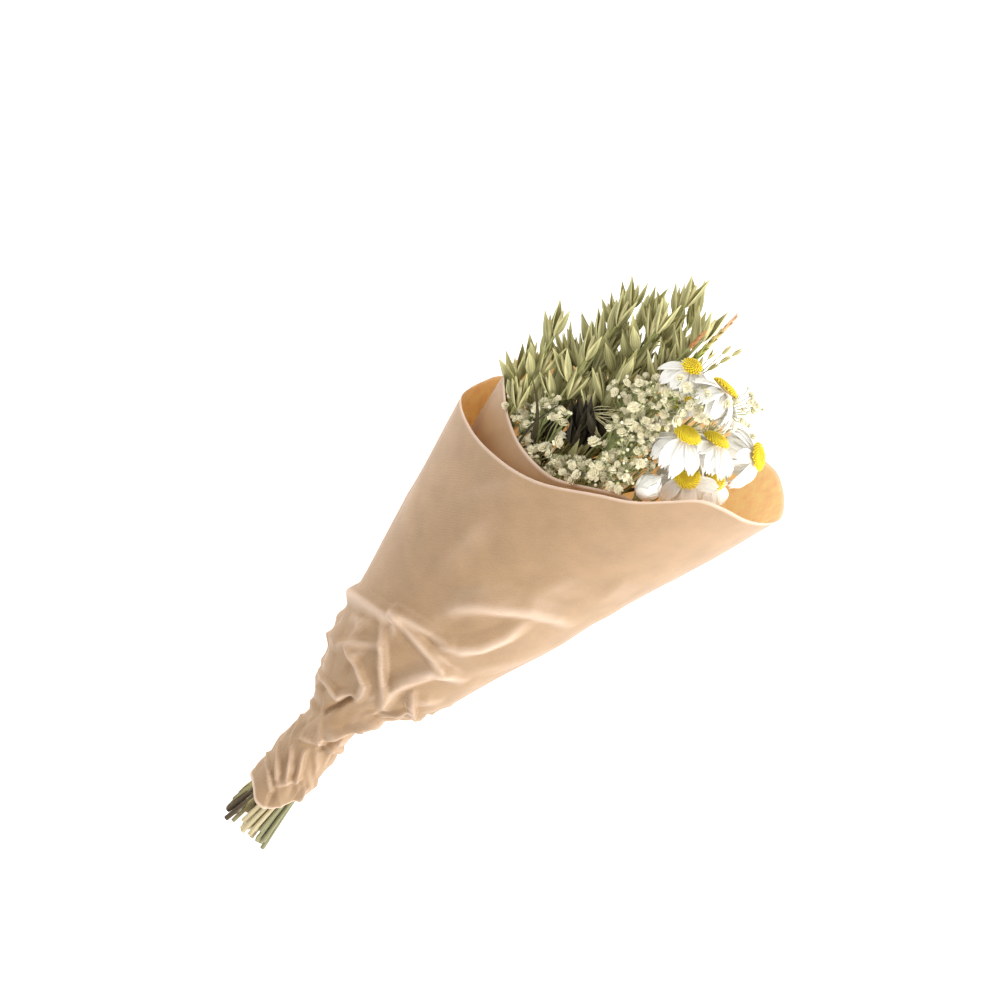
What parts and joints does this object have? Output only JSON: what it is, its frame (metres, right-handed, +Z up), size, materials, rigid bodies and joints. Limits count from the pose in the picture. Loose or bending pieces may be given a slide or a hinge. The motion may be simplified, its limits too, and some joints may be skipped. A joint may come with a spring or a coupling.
{
  "type": "mixed flower bouquet",
  "caption": "Dried bouquet lying in a twisted kraft paper cone: oats, baby's breath and white paper daisies with yellow hearts, cut stems fanned at the foot.",
  "frame": {"origin": "on the table under the middle of the bouquet's box", "axes": "+X from the cut stems to the flower heads, +Y to the left of the bouquet seen from above with the flowers ahead, +Z up from the table"},
  "size_m": [0.4603, 0.1889, 0.1595],
  "materials": {
    "kraft_paper": "matte",
    "jute_tie": "matte",
    "dried_oat": "matte",
    "babys_breath": "matte",
    "white_petal": "matte",
    "yellow_disc": "matte",
    "green_stem": "matte",
    "papery_bud": "matte",
    "grass_spike": "matte",
    "dock": "matte"
  },
  "bodies": {
    "root": {"kraft_wrapper": "kraft_paper", "neck_tie": "jute_tie", "daisy_1_petals": "white_petal", "daisy_1_disc": "yellow_disc", "daisy_1_stem": "green_stem", "daisy_2_petals": "white_petal", "daisy_2_disc": "yellow_disc", "daisy_2_stem": "green_stem", "daisy_3_petals": "white_petal", "daisy_3_disc": "yellow_disc", "daisy_3_stem": "green_stem", "daisy_4_petals": "white_petal", "daisy_4_disc": "yellow_disc", "daisy_4_stem": "green_stem", "daisy_5_petals": "white_petal", "daisy_5_disc": "yellow_disc", "daisy_5_stem": "green_stem", "daisy_6_petals": "white_petal", "daisy_6_disc": "yellow_disc", "daisy_6_stem": "green_stem", "daisy_7_petals": "white_petal", "daisy_7_disc": "yellow_disc", "daisy_7_stem": "green_stem", "daisy_8_petals": "white_petal", "daisy_8_disc": "yellow_disc", "daisy_8_stem": "green_stem", "daisy_9_petals": "white_petal", "daisy_9_disc": "yellow_disc", "daisy_9_stem": "green_stem", "bud_bracts": "papery_bud", "bud_stem": "green_stem", "grass_spike": "grass_spike", "dock_tip": "dock", "babys_breath_1": "babys_breath", "babys_breath_2": "babys_breath", "babys_breath_3": "babys_breath", "babys_breath_4": "babys_breath", "babys_breath_5": "babys_breath", "babys_breath_6": "babys_breath", "babys_breath_7": "babys_breath", "babys_breath_8": "babys_breath", "babys_breath_9": "babys_breath", "babys_breath_10": "babys_breath", "babys_breath_11": "babys_breath", "oat_panicle_1": "dried_oat", "oat_panicle_2": "dried_oat", "oat_panicle_3": "dried_oat", "oat_panicle_4": "dried_oat", "oat_panicle_5": "dried_oat", "oat_panicle_6": "dried_oat", "oat_panicle_7": "dried_oat", "oat_panicle_8": "dried_oat", "oat_panicle_9": "dried_oat", "oat_panicle_10": "dried_oat", "oat_panicle_11": "dried_oat", "oat_panicle_12": "dried_oat", "oat_panicle_13": "dried_oat", "oat_panicle_14": "dried_oat", "oat_panicle_15": "dried_oat", "oat_panicle_16": "dried_oat"}
  },
  "joints": []
}
